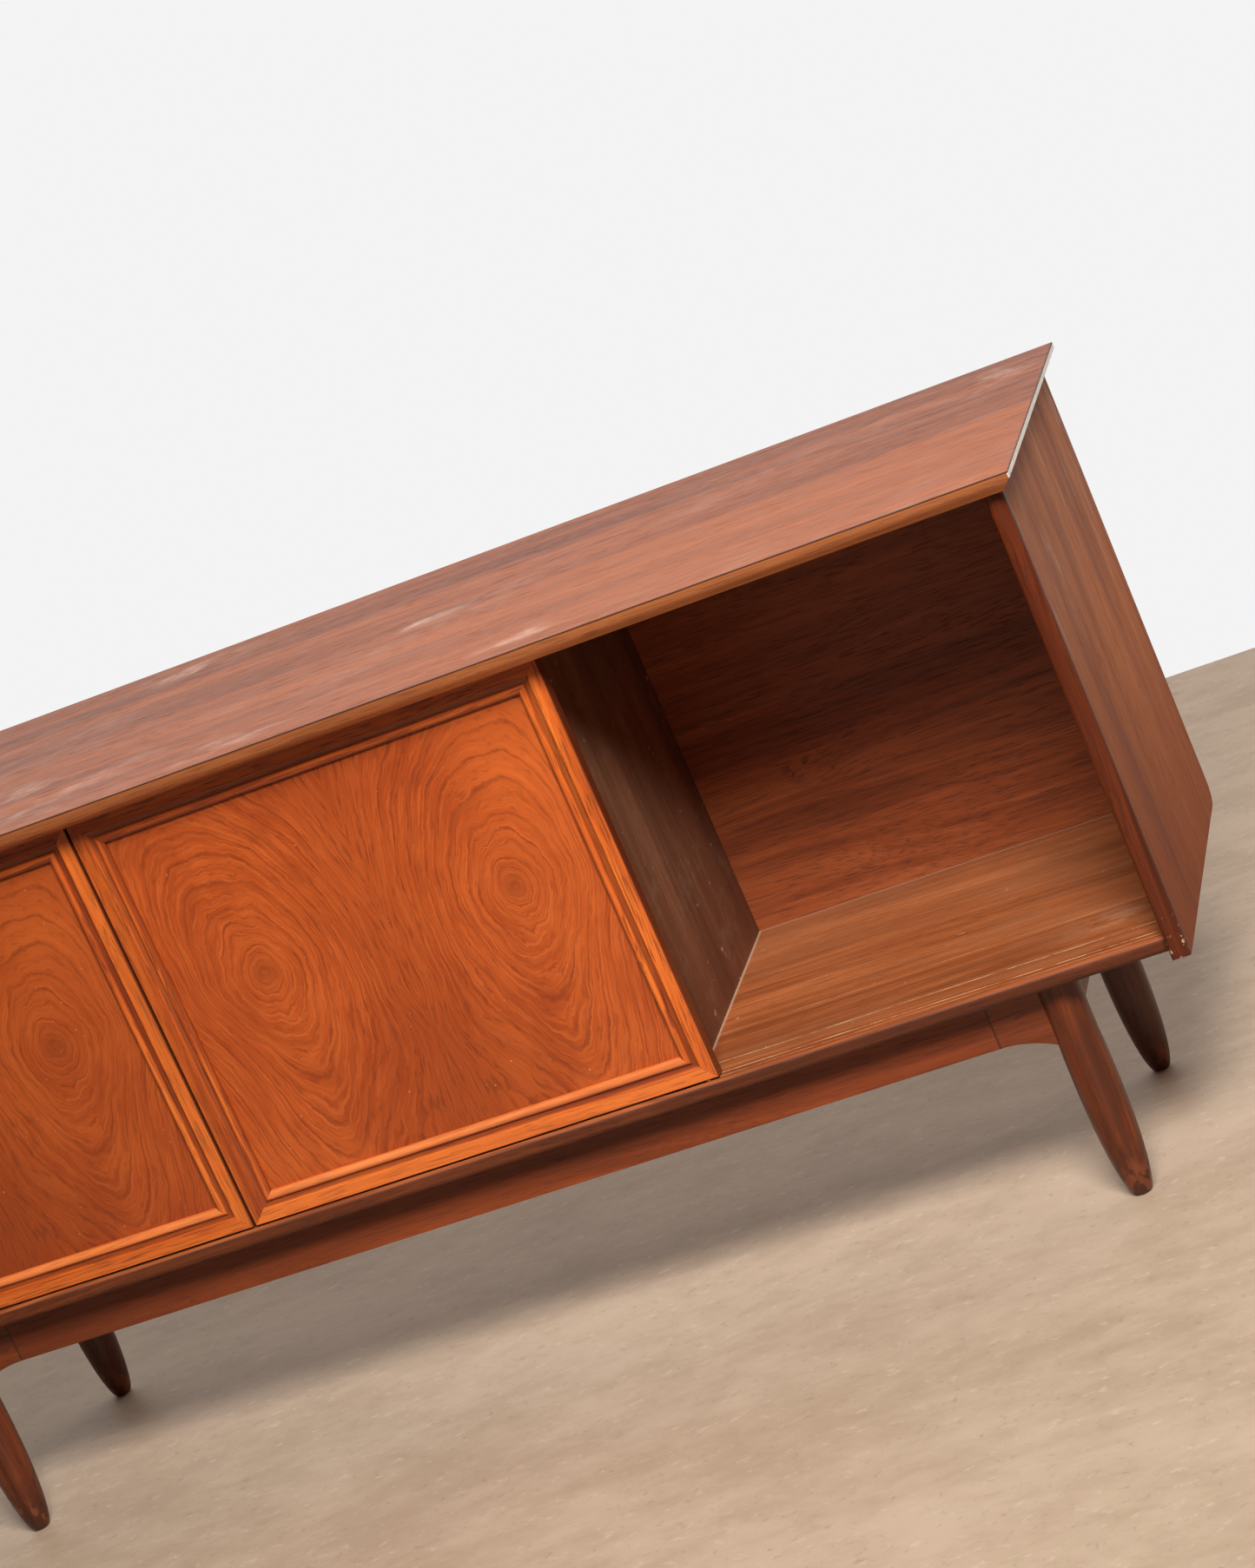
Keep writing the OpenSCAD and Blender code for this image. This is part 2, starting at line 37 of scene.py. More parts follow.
# The stone floor ends at the white wall, this far behind the middle of the piece.
WALL_Y = 1.42
STAGE_HALF = 40.0
STAGE_FAR = 90.0
STAGE_DROP = 0.0005

# How bright the room is in front of the piece and at the white wall behind it.
ROOM_FRONT = 0.036
ROOM_BACK = 1.36
ROOM_COLOUR = (1.0, 0.945, 0.89, 1.0)
WALL_GLOW = 0.9

# The one lamp, at the front right.
KEY_PLACE = (1.32, -2.57, 2.80)
KEY_TARGET = (0.2, 0.0, 0.4)
KEY_SIZE = (1.4, 0.95)
KEY_WATTS = 42.0
KEY_COLOUR = (1.0, 0.975, 0.94)
KEY_SPREAD = math.radians(75.0)

# The door frame's moulding, measured in from the door's outer edge and back from its front.
COVE_START = 0.0145
COVE_END = 0.0205
SLOPE_START = 0.0250
MOULDING_DEPTH = 0.009
BLUR = 0.001

# The figure of a door: two mirrored eyes, this far out from the mirror line and above the panel's middle.
EYE_OUT = 0.125
EYE_UP = 0.020
MIRROR_SHIFT = 0.005
# How the rings stretch upwards: slope far from an eye, slope below it, extra slope near it, and how far that reaches.
FAR_RISE = 0.30
FOOT_RISE = 0.22
NEAR_RISE = 0.80
EYE_ROUND = 0.045
# How much the rings lean outwards above an eye, and how softly that starts.
EYE_LEAN = 0.20
EYE_BEND = 0.03
# Beside the mirror line the figure runs almost straight up.
CALM_WIDTH = 0.052
CALM_SHARE = 0.85


# ---------------------------------------------------------------- shader building
class Shader:
    """One material's nodes. A value may be a number, a tuple or another node's output."""

    def __init__(self, name):
        self.material = bpy.data.materials.new(name)
        self.material.use_nodes = True
        self.tree = self.material.node_tree
        self.tree.nodes.clear()
        self.output = self.tree.nodes.new("ShaderNodeOutputMaterial")
        self.surface = self.tree.nodes.new("ShaderNodeBsdfPrincipled")
        self.tree.links.new(self.surface.outputs[0], self.output.inputs["Surface"])
        self.place = self.tree.nodes.new("ShaderNodeTexCoord").outputs["Object"]

    def feed(self, socket, value):
        if isinstance(value, bpy.types.NodeSocket):
            self.tree.links.new(value, socket)
            return
        if isinstance(value, (tuple, list)) and socket.type == "RGBA" and len(value) == 3:
            value = (*value, 1.0)
        socket.default_value = value

    def set(self, **values):
        for name, value in values.items():
            self.feed(self.surface.inputs[name.replace("_", " ")], value)

    def math(self, operation, a, b=0.0, c=0.0, clamp=False):
        node = self.tree.nodes.new("ShaderNodeMath")
        node.operation = operation
        node.use_clamp = clamp
        for socket, value in zip(node.inputs, (a, b, c)):
            self.feed(socket, value)
        return node.outputs[0]

    def add(self, a, b):
        return self.math("ADD", a, b)

    def sub(self, a, b):
        return self.math("SUBTRACT", a, b)

    def mul(self, a, b):
        return self.math("MULTIPLY", a, b)

    def gap(self, value, place):
        """How far a value is from a place."""
        return self.math("ABSOLUTE", self.sub(value, place))

    def least(self, a, b):
        return self.math("MINIMUM", a, b)

    def most(self, a, b):
        return self.math("MAXIMUM", a, b)

    def axes(self, vector=None):
        node = self.tree.nodes.new("ShaderNodeSeparateXYZ")
        self.feed(node.inputs[0], self.place if vector is None else vector)
        return node.outputs

    def vector(self, x, y, z):
        node = self.tree.nodes.new("ShaderNodeCombineXYZ")
        for socket, value in zip(node.inputs, (x, y, z)):
            self.feed(socket, value)
        return node.outputs[0]

    def stretch(self, scale, shift=(0.0, 0.0, 0.0), vector=None):
        node = self.tree.nodes.new("ShaderNodeVectorMath")
        node.operation = "MULTIPLY_ADD"
        self.feed(node.inputs[0], self.place if vector is None else vector)
        node.inputs[1].default_value = scale
        node.inputs[2].default_value = shift
        return node.outputs[0]

    def noise(self, vector, scale=1.0, detail=2.0, rough=0.5):
        node = self.tree.nodes.new("ShaderNodeTexNoise")
        self.feed(node.inputs["Vector"], vector)
        node.inputs["Scale"].default_value = scale
        node.inputs["Detail"].default_value = detail
        node.inputs["Roughness"].default_value = rough
        return node.outputs[0]

    def field(self, scale, shift=(0.0, 0.0, 0.0), detail=2.0, rough=0.5, vector=None):
        """Noise with its own scale along each axis."""
        return self.noise(self.stretch(scale, shift, vector), 1.0, detail, rough)

    def sway(self, scale, shift=(0.0, 0.0, 0.0), detail=1.0, rough=0.5, vector=None):
        """The same noise about 0, to push a pattern either way."""
        return self.sub(self.field(scale, shift, detail, rough, vector), 0.5)

    def patches(self, scale, shift, detail, rough, low, high, vector=None):
        """Patches of noise: 0 where it is under low, 1 where it is over high."""
        return self.span(self.field(scale, shift, detail, rough, vector), low, high)

    def span(self, value, low, high, out_low=0.0, out_high=1.0):
        """A smooth step from out_low at low to out_high at high."""
        node = self.tree.nodes.new("ShaderNodeMapRange")
        node.interpolation_type = "SMOOTHSTEP"
        self.feed(node.inputs["Value"], value)
        node.inputs["From Min"].default_value = low
        node.inputs["From Max"].default_value = high
        node.inputs["To Min"].default_value = out_low
        node.inputs["To Max"].default_value = out_high
        return node.outputs[0]

    def mix(self, share, a, b):
        node = self.tree.nodes.new("ShaderNodeMix")
        node.data_type = "RGBA"
        self.feed(node.inputs[0], share)
        self.feed(node.inputs[6], a)
        self.feed(node.inputs[7], b)
        return node.outputs[2]

    def tint(self, colour, mask, share, tone):
        """The colour, moved by that share towards a tone where the mask is 1."""
        return self.mix(self.mul(mask, share), colour, tone)

    def ramp(self, value, *stops):
        node = self.tree.nodes.new("ShaderNodeValToRGB")
        self.feed(node.inputs[0], value)
        points = node.color_ramp.elements
        while len(points) < len(stops):
            points.new(0.5)
        for point, (where, colour) in zip(points, stops):
            point.position = where
            point.color = (*colour, 1.0)
        return node.outputs[0]

    def bump(self, height, strength, distance):
        node = self.tree.nodes.new("ShaderNodeBump")
        node.inputs["Strength"].default_value = strength
        node.inputs["Distance"].default_value = distance
        self.feed(node.inputs["Height"], height)
        self.feed(self.surface.inputs["Normal"], node.outputs[0])


def srgb(red, green, blue):
    """A colour as it looks on a screen, 0 to 255, turned into linear light."""

    def linear(value):
        value = value / 255
        return value / 12.92 if value <= 0.04045 else ((value + 0.055) / 1.055) ** 2.4

    return linear(red), linear(green), linear(blue)


# The dark, middle and light tone of each wood.
TONES = {
    "top": (srgb(106, 52, 31), srgb(141, 72, 39), srgb(163, 87, 43)),
    "top_lipping": (srgb(144, 78, 38), srgb(180, 104, 56), srgb(200, 124, 70)),
    "core": (srgb(92, 52, 36), srgb(122, 72, 50), srgb(146, 92, 66)),
    "side": (srgb(138, 75, 40), srgb(170, 98, 57), srgb(187, 114, 67)),
    "side_lipping": (srgb(60, 22, 7), srgb(86, 33, 11), srgb(106, 46, 17)),
    "board": (srgb(126, 64, 31), srgb(158, 85, 43), srgb(180, 104, 58)),
    "bottom_lipping": (srgb(64, 27, 9), srgb(88, 39, 14), srgb(108, 51, 21)),
    "upright": (srgb(86, 53, 36), srgb(116, 74, 51), srgb(140, 93, 66)),
    "back": (srgb(104, 47, 22), srgb(140, 69, 35), srgb(164, 87, 46)),
    "door_figure": (srgb(146, 58, 20), srgb(165, 72, 25), srgb(182, 86, 33)),
    "door_frame": (srgb(138, 52, 18), srgb(190, 86, 27), srgb(214, 112, 40)),
    "rail": (srgb(84, 35, 12), srgb(114, 49, 18), srgb(138, 64, 27)),
    "end_rail": (srgb(104, 72, 54), srgb(136, 100, 78), srgb(160, 124, 100)),
    "bracket": (srgb(78, 33, 12), srgb(108, 48, 18), srgb(134, 64, 28)),
    "front_leg": (srgb(63, 25, 7), srgb(94, 38, 11), srgb(122, 54, 18)),
    "rear_leg": (srgb(58, 24, 9), srgb(80, 35, 14), srgb(102, 47, 20)),
}

# Pale rubs on the top: the place and half size of each, in x and y.
TOP_RUBS = (
    ((-0.18, 0.180), (0.10, 0.05)),
    ((0.10, 0.020), (0.09, 0.025)),
    ((0.26, -0.185), (0.06, 0.04)),
    ((-0.04, -0.185), (0.09, 0.035)),
    ((-0.35, -0.12), (0.25, 0.09)),
    ((0.68, 0.16), (0.08, 0.06)),
)

# Scratches along the niche's floor and its lipping: how far behind the front, half width and share.
FLOOR_SCRATCHES = ((0.045, 0.0016, 1.0), (0.120, 0.0009, 0.6))
LIPPING_SCRATCHES = ((0.018, 0.0016, 1.0), (0.009, 0.0009, 0.7))

# On the back panel: how high the long crack runs, and how high and how far right of the partition the knot is.
CRACK_HEIGHT = 0.462
KNOT_HEIGHT = 0.392
KNOT_OUT = 0.105

# How far each door frame member is moved from the common tone, and towards which colour. For the top rails this is a
# painted shadow under the top.
LIGHT_FRAME = srgb(226, 132, 56)
DARK_FRAME = srgb(120, 50, 18)
SHADED_FRAME = srgb(94, 36, 16)
FRAME_TINTS = {
    "left_door_hinge_stile": (0.2, srgb(214, 120, 48)),
    "left_door_closing_stile": (0.18, LIGHT_FRAME),
    "left_door_bottom_rail": (0.15, DARK_FRAME),
    "left_door_top_rail": (0.22, SHADED_FRAME),
    "right_door_hinge_stile": (0.06, LIGHT_FRAME),
    "right_door_closing_stile": (0.38, DARK_FRAME),
    "right_door_bottom_rail": (0.28, srgb(226, 128, 60)),
    "right_door_top_rail": (0.22, SHADED_FRAME),
}

# Where each leg's wood is taken from, so that no two legs match.
LEG_SEEDS = {"front_left_leg": 30.0, "front_right_leg": 31.0, "rear_left_leg": 32.0, "rear_right_leg": 33.0}


def along_grain(axis, along, across):
    """Scales for a pattern drawn out along one axis."""
    return tuple(along if i == axis else across for i in range(3))


def edge_distance(s, low, high):
    """On a face of a box, how far the nearest edge of that face is."""
    gaps = []
    for value, a, b in zip(s.axes(), low, high):
        gaps.append(s.least(s.gap(value, a), s.math("ABSOLUTE", s.sub(b, value))))
    total = s.add(s.add(gaps[0], gaps[1]), gaps[2])
    biggest = s.most(s.most(gaps[0], gaps[1]), gaps[2])
    smallest = s.least(s.least(gaps[0], gaps[1]), gaps[2])
    return s.sub(s.sub(total, biggest), smallest)


def spot(s, centre, size):
    """1 at the centre, falling to 0 at an ellipsoid of that size."""
    shift = tuple(-c / r for c, r in zip(centre, size))
    near = s.stretch(tuple(1 / r for r in size), shift)
    node = s.tree.nodes.new("ShaderNodeVectorMath")
    node.operation = "LENGTH"
    s.feed(node.inputs[0], near)
    return s.span(node.outputs["Value"], 1.0, 0.0)


def pores(s, axis, vector):
    """Short dark dashes of open grain, 0 between them and 1 in them."""
    return s.patches(along_grain(axis, 28.0, 900.0), (3.1, 5.7, 1.9), 1.0, 0.4, 0.56, 0.64, vector)


def wavy_place(s, axis, seed):
    """The surface's place, pushed about a little so that the grain isn't ruler straight."""
    wave = s.field(along_grain(axis, 1.6, 9.0), (seed, seed + 2.0, seed + 4.0))
    push = s.mul(s.sub(wave, 0.5), 0.05)
    node = s.tree.nodes.new("ShaderNodeVectorMath")
    node.operation = "ADD"
    s.feed(node.inputs[0], s.place)
    s.feed(node.inputs[1], s.vector(push, push, push))
    return node.outputs[0]


def wood(name, axis, tones, band=22.0, streak=170.0, long=5.0, contrast=1.0, pore=0.35, rough=0.42, coat=0.0,
         specular=0.35, seed=0.0, box=None, wear=None):
    """Varnished wood with its grain along one axis, and worn edges where a box is given.

    band and streak are how many broad and fine stripes there are to a metre across the grain, long is how many
    streaks follow each other along it, and pore is how dark the open grain is.
    """
    dark, middle, light = tones
    s = Shader(name)
    s.flow = wavy_place(s, axis, seed)
    broad = s.field(along_grain(axis, 1.1, band), (seed, seed, seed), 3.0, 0.55, s.flow)
    drawn = s.field(along_grain(axis, long * 0.5, streak * 0.36), (seed, 5.0, 9.0), 2.0, 0.6, s.flow)
    s.fine = s.field(along_grain(axis, long, streak), (seed, 1.0, 2.0), 3.0, 0.6, s.flow)
    tone = s.add(s.mul(broad, 0.45), s.add(s.mul(drawn, 0.27), s.mul(s.fine, 0.28)))
    spread = 0.22 / contrast
    colour = s.ramp(s.span(tone, 0.5 - spread, 0.5 + spread), (0.0, dark), (0.5, middle), (1.0, light))
    dash = pores(s, axis, s.flow)
    colour = s.tint(colour, dash, pore, tuple(c * 0.35 for c in dark))
    if box is not None:
        jitter = s.mul(s.noise(s.place, 90.0, 3.0, 0.6), 0.006)
        rub = s.span(s.add(edge_distance(s, *box), jitter), 0.0052, 0.0025)
        colour = s.tint(colour, rub, 0.8, wear)
    s.colour = colour
    s.set(Base_Color=colour, Coat_Weight=coat, Coat_Roughness=0.25, Specular_IOR_Level=specular)
    gloss = s.add(s.mul(s.sub(s.fine, 0.5), 0.25), s.mul(dash, 0.18))
    s.set(Roughness=s.math("ADD", gloss, rough, clamp=True))
    s.bump(s.sub(s.mul(s.fine, 0.5), dash), 0.25, 0.0004)
    return s


def give(s, *names):
    """Puts a material on CAD nodes, in place of the plain one they came with."""
    for name in names:
        mesh = nodes[name].data
        mesh.materials.clear()
        mesh.materials.append(s.material)


def paint(s, colour, *names):
    """Sets the final colour and puts the material on CAD nodes."""
    s.set(Base_Color=colour)
    give(s, *names)


# ---------------------------------------------------------------- the top
def top_veneer():
    low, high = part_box("top_veneer")
    s = wood("top_veneer", ALONG_X, TONES["top"], band=24.0, streak=260.0, contrast=1.2, pore=0.4, rough=0.5,
             specular=0.25, seed=1.0)
    x, y, _ = s.axes()
    front_leaf = s.mul(s.span(y, 0.004, 0.002), s.span(x, -0.1, 0.4, 0.2, 1.0))
    colour = s.tint(s.colour, front_leaf, 0.35, srgb(166, 90, 44))
    smoke = s.patches((2.4, 24.0, 1.0), (4.0, 1.0, 0.0), 4.0, 0.65, 0.5, 0.7, s.flow)
    drift = spot(s, (high.x * 0.5, high.y * 0.52, high.z), (0.30, 0.07, 1.0))
    end_drift = spot(s, (high.x, high.y * 0.35, high.z), (0.2, 0.06, 1.0))
    drift = s.math("ADD", drift, end_drift, clamp=True)
    smoke = s.mul(smoke, s.add(s.mul(drift, 0.85), 0.15))
    colour = s.tint(colour, smoke, 0.75, srgb(86, 52, 44))
    rub = 0.0
    for (place_x, place_y), (half_x, half_y) in TOP_RUBS:
        rub = s.add(rub, spot(s, (place_x, place_y, high.z), (half_x, half_y, 1.0)))
    cloud = s.patches((16.0, 26.0, 1.0), (0.0, 0.0, 0.0), 5.0, 0.68, 0.42, 0.72)
    haze = s.patches((2.0, 5.0, 1.0), (7.0, 3.0, 0.0), 4.0, 0.6, 0.5, 0.8)
    pale = s.math("ADD", s.mul(s.mul(rub, cloud), 0.75), s.mul(s.mul(haze, cloud), 0.35), clamp=True)
    colour = s.mix(pale, colour, srgb(204, 168, 152))
    front_line = s.span(y, low.y + 0.0035, low.y + 0.0015)
    colour = s.tint(colour, front_line, 0.85, srgb(40, 18, 12))
    end_line = s.span(x, high.x - 0.0016, high.x - 0.0006)
    colour = s.tint(colour, end_line, 0.6, srgb(54, 28, 20))
    paint(s, colour, "top_veneer")


def top_lipping():
    low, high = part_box("top_front_lipping")
    s = wood("top_lipping", ALONG_X, TONES["top_lipping"], band=60.0, streak=300.0, pore=0.5, rough=0.4, coat=0.2,
             seed=3.0)
    x, _, z = s.axes()
    blot = s.field((9.0, 60.0, 60.0), detail=3.0, rough=0.6)
    # Painted shade and painted light on the lipping's down-turned lower face: darker at the left, lighter at the
    # right.
    under = s.span(s.add(z, s.mul(blot, 0.008)), low.z + 0.014, low.z + 0.007)
    painted_shade_under = s.tint(s.colour, under, 0.6, srgb(66, 32, 18))
    painted_light_under = s.tint(s.colour, under, 0.7, srgb(214, 144, 92))
    colour = s.mix(s.span(x, -0.05, 0.35), painted_shade_under, painted_light_under)
    crest = s.span(z, high.z - 0.010, high.z - 0.002)
    paint(s, s.tint(colour, crest, 0.6, srgb(120, 66, 32)), "top_front_lipping")


def top_ends_and_core():
    s = Shader("pale_edging")
    grain = s.field((30.0, 30.0, 260.0), detail=3.0, rough=0.6)
    stain = s.span(s.noise(s.place, 26.0, 4.0, 0.7), 0.58, 0.7)
    colour = s.ramp(grain, (0.3, srgb(206, 198, 188)), (0.7, srgb(236, 232, 226)))
    s.set(Roughness=s.span(grain, 0.2, 0.8, 0.5, 0.7))
    s.bump(grain, 0.3, 0.0003)
    paint(s, s.mix(stain, colour, srgb(96, 70, 58)), "top_end_edging_left", "top_end_edging_right")
    core = wood("core_veneer", ALONG_X, TONES["core"], band=40.0, rough=0.55, seed=5.0)
    give(core, "top_core")


# ---------------------------------------------------------------- the case
def side_panel(side):
    node = "side_panel_" + side
    low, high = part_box(node)
    s = wood(node, ALONG_Z, TONES["side"], band=26.0, streak=150.0, long=2.0, contrast=1.15, pore=0.3, rough=0.68,
             specular=0.12, seed=6.0, box=(low, high), wear=srgb(84, 46, 32))
    _, y, z = s.axes()
    darker_front = s.span(s.sub(high.y, y), 0.06, high.y - low.y)
    colour = s.tint(s.colour, darker_front, 0.42, srgb(86, 42, 24))
    lower = s.span(z, 0.50, low.z)
    colour = s.tint(colour, lower, 0.6, srgb(122, 52, 16))
    plum = s.patches((11.0, 15.0, 2.4), (3.0, 8.0, 1.0), 3.0, 0.55, 0.5, 0.7)
    colour = s.tint(colour, plum, 0.45, srgb(108, 62, 50))
    # Painted sheen on the upper part: a slight pale grey haze, and pale smears that are partly real rubs and partly
    # painted sheen.
    upper = s.span(z, 0.46, 0.62)
    colour = s.tint(colour, upper, 0.14, srgb(160, 122, 106))
    rubs_and_sheen = s.patches((24.0, 46.0, 9.0), (1.0, 2.0, 0.0), 5.0, 0.68, 0.52, 0.72)
    paint(s, s.tint(colour, s.mul(rubs_and_sheen, upper), 0.5, srgb(196, 166, 148)), node)


def side_lipping(side):
    node = "side_lipping_" + side
    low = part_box(node)[0]
    panel_low, panel_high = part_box("side_panel_" + side)
    s = wood(node, ALONG_Z, TONES["side_lipping"], band=60.0, streak=320.0, pore=0.4, rough=0.42, coat=0.1,
             specular=0.25, seed=8.0)
    x, _, z = s.axes()
    outside = s.gap(x, panel_high.x if side == "right" else panel_low.x)
    darkened = s.span(s.add(outside, s.mul(s.noise(s.place, 60.0, 3.0, 0.6), 0.002)), 0.0024, 0.0014)
    colour = s.tint(s.colour, darkened, 0.3, srgb(40, 16, 8))
    chips = s.mul(s.span(s.noise(s.place, 160.0, 3.0, 0.6), 0.6, 0.66), s.span(z, low.z + 0.05, low.z))
    paint(s, s.mix(chips, colour, srgb(196, 158, 124)), node)


def scratches(s, colour, along, front, lines):
    """Pale broken scratches that run with the length. Each line is (how far behind the front, half width, share)."""
    wander = s.mul(s.sway((5.0, 1.0, 1.0), detail=2.0), 0.004)
    for number, (back, half_width, share) in enumerate(lines):
        off = s.gap(s.add(along, wander), front + back)
        broken = s.patches((22.0, 4.0, 1.0), (number * 7.3, 0.0, 0.0), 5.0, 0.75, 0.36, 0.62)
        mark = s.mul(s.mul(s.span(off, half_width, half_width * 0.3), broken), share)
        colour = s.tint(colour, mark, 0.8, srgb(216, 176, 134))
    return colour


def worn_board():
    """The case bottom, which is the niche's floor, and the shelves."""
    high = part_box("case_bottom")[1]
    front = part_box("bottom_front_lipping")[0].y
    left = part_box("partition")[1].x
    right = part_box("side_lipping_right")[0].x
    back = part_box("back_panel")[0].y
    s = wood("worn_board", ALONG_X, TONES["board"], band=34.0, streak=240.0, contrast=1.3, pore=0.45, rough=0.5,
             seed=10.0)
    x, y, _ = s.axes()
    haze = s.patches((4.0, 9.0, 9.0), (2.0, 0.0, 0.0), 5.0, 0.68, 0.42, 0.72)
    colour = s.tint(s.colour, haze, 0.42, srgb(150, 98, 66))
    stain = s.patches((5.0, 13.0, 13.0), (9.0, 4.0, 0.0), 4.0, 0.6, 0.52, 0.75)
    colour = s.tint(colour, stain, 0.4, srgb(104, 48, 20))
    rear = s.span(y, 0.02, high.y)
    colour = s.tint(colour, rear, 0.25, srgb(150, 100, 68))
    colour = scratches(s, colour, y, front, FLOOR_SCRATCHES)
    polish = spot(s, (right - 0.045, front + 0.085, high.z), (0.10, 0.05, 1.0))
    brushed = s.patches((30.0, 50.0, 1.0), (0.0, 0.0, 0.0), 5.0, 0.7, 0.36, 0.66)
    colour = s.tint(colour, s.mul(polish, brushed), 0.28, srgb(204, 160, 124))
    nick = s.patches((70.0, 110.0, 60.0), (8.0, 1.0, 3.0), 2.0, 0.5, 0.74, 0.77)
    colour = s.tint(colour, nick, 0.45, srgb(206, 166, 130))
    left_corner = s.gap(x, left)
    rear_corner = s.gap(y, back)
    dust = s.most(s.mul(s.span(left_corner, 0.004, 0.001), 0.6), s.mul(s.span(rear_corner, 0.006, 0.001), 0.35))
    colour = s.mix(dust, colour, srgb(196, 168, 140))
    bare = s.span(s.add(left_corner, s.mul(s.noise(s.place, 50.0, 4.0, 0.65), 0.03)), 0.034, 0.018)
    bare = s.mul(bare, s.span(y, front + 0.06, front + 0.02))
    colour = s.tint(colour, bare, 0.6, srgb(176, 134, 98))
    paint(s, colour, "case_bottom", "cupboard_shelf_left", "cupboard_shelf_right")


def bottom_lipping():
    low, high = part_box("bottom_front_lipping")
    s = wood("bottom_lipping", ALONG_X, TONES["bottom_lipping"], band=60.0, streak=300.0, pore=0.4, rough=0.6,
             specular=0.3, seed=11.0)
    _, y, z = s.axes()
    face = s.ramp(s.span(s.fine, 0.3, 0.7), (0.0, srgb(120, 58, 26)), (1.0, srgb(164, 88, 44)))
    above = s.span(z, high.z - 0.0034, high.z - 0.0012)
    colour = s.mix(above, s.colour, face)
    colour = scratches(s, colour, y, low.y, LIPPING_SCRATCHES)
    edge = s.add(s.gap(y, low.y), s.math("ABSOLUTE", s.sub(high.z, z)))
    ragged = s.add(edge, s.mul(s.field((30.0, 90.0, 90.0), detail=4.0, rough=0.65), 0.012))
    chip = s.span(ragged, 0.0062, 0.0052)
    paint(s, s.tint(colour, chip, 0.8, srgb(200, 146, 104)), "bottom_front_lipping")


def upright(node):
    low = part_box(node)[0]
    s = wood(node, ALONG_Z, TONES["upright"], band=22.0, streak=120.0, pore=0.25, rough=0.55, seed=12.0)
    _, y, z = s.axes()
    # Darker towards the bottom of the board.
    wander = s.mul(s.sway((4.0, 4.0, 4.0), detail=2.0), 0.16)
    darkened = s.span(s.add(s.sub(z, low.z), wander), 0.14, 0.02)
    colour = s.tint(s.colour, darkened, 0.55, srgb(92, 46, 24))
    scuff = s.patches((16.0, 20.0, 26.0), (0.0, 0.0, 0.0), 5.0, 0.72, 0.5, 0.72)
    colour = s.tint(colour, scuff, 0.3, srgb(150, 120, 96))
    # Painted shade: the upper rear of the board, in the top's shadow, is moved towards a dark grey.
    painted_shade_upper_rear = s.mul(s.span(z, 0.5, 0.66), s.span(y, low.y + 0.10, low.y + 0.20))
    colour = s.tint(colour, painted_shade_upper_rear, 0.35, srgb(84, 70, 62))
    nick = s.patches((70.0, 60.0, 110.0), (8.0, 1.0, 3.0), 2.0, 0.5, 0.71, 0.74)
    paint(s, s.tint(colour, nick, 0.6, srgb(196, 164, 134)), node)


def back_panel():
    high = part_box("back_panel")[1]
    niche_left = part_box("partition")[1].x
    s = wood("back_veneer", ALONG_X, TONES["back"], band=20.0, streak=200.0, contrast=1.15, pore=0.5, rough=0.42,
             coat=0.15, seed=14.0)
    _, _, z = s.axes()
    sag = s.mul(s.sway((2.4, 1.0, 1.0), detail=2.0), 0.05)
    crack = s.gap(s.add(z, sag), CRACK_HEIGHT)
    broken = s.patches((4.0, 1.0, 90.0), (0.0, 0.0, 0.0), 3.0, 0.6, 0.35, 0.6)
    colour = s.tint(s.colour, s.mul(s.span(crack, 0.014, 0.0), broken), 0.5, srgb(58, 30, 20))
    knot = spot(s, (niche_left + KNOT_OUT, high.y, KNOT_HEIGHT), (0.028, 1.0, 0.016))
    fleck = s.patches((90.0, 1.0, 60.0), (2.0, 0.0, 0.0), 2.0, 0.5, 0.5, 0.56)
    paint(s, s.tint(colour, s.mul(knot, fleck), 0.8, srgb(46, 24, 18)), "back_panel")


# ---------------------------------------------------------------- the doors
def ring_reach(s, across, up, calm):
    """Distance from an eye of the figure: round near it, drawn out above and below, pointed at the foot."""
    rise = s.math("ABSOLUTE", up)
    near = s.sub(1.0, s.math("EXPONENT", s.mul(rise, -1.0 / EYE_ROUND)))
    far = s.mul(rise, s.span(up, -0.02, 0.02, FOOT_RISE, FAR_RISE))
    tall = s.mul(s.add(far, s.mul(near, NEAR_RISE * EYE_ROUND)), calm)
    power = s.add(s.span(up, -0.12, -0.01, 1.7, 2.0), s.span(up, 0.01, 0.07, 0.0, 0.7))
    total = s.add(s.math("POWER", across, power), s.math("POWER", tall, power))
    return s.math("POWER", total, s.math("DIVIDE", 1.0, power))


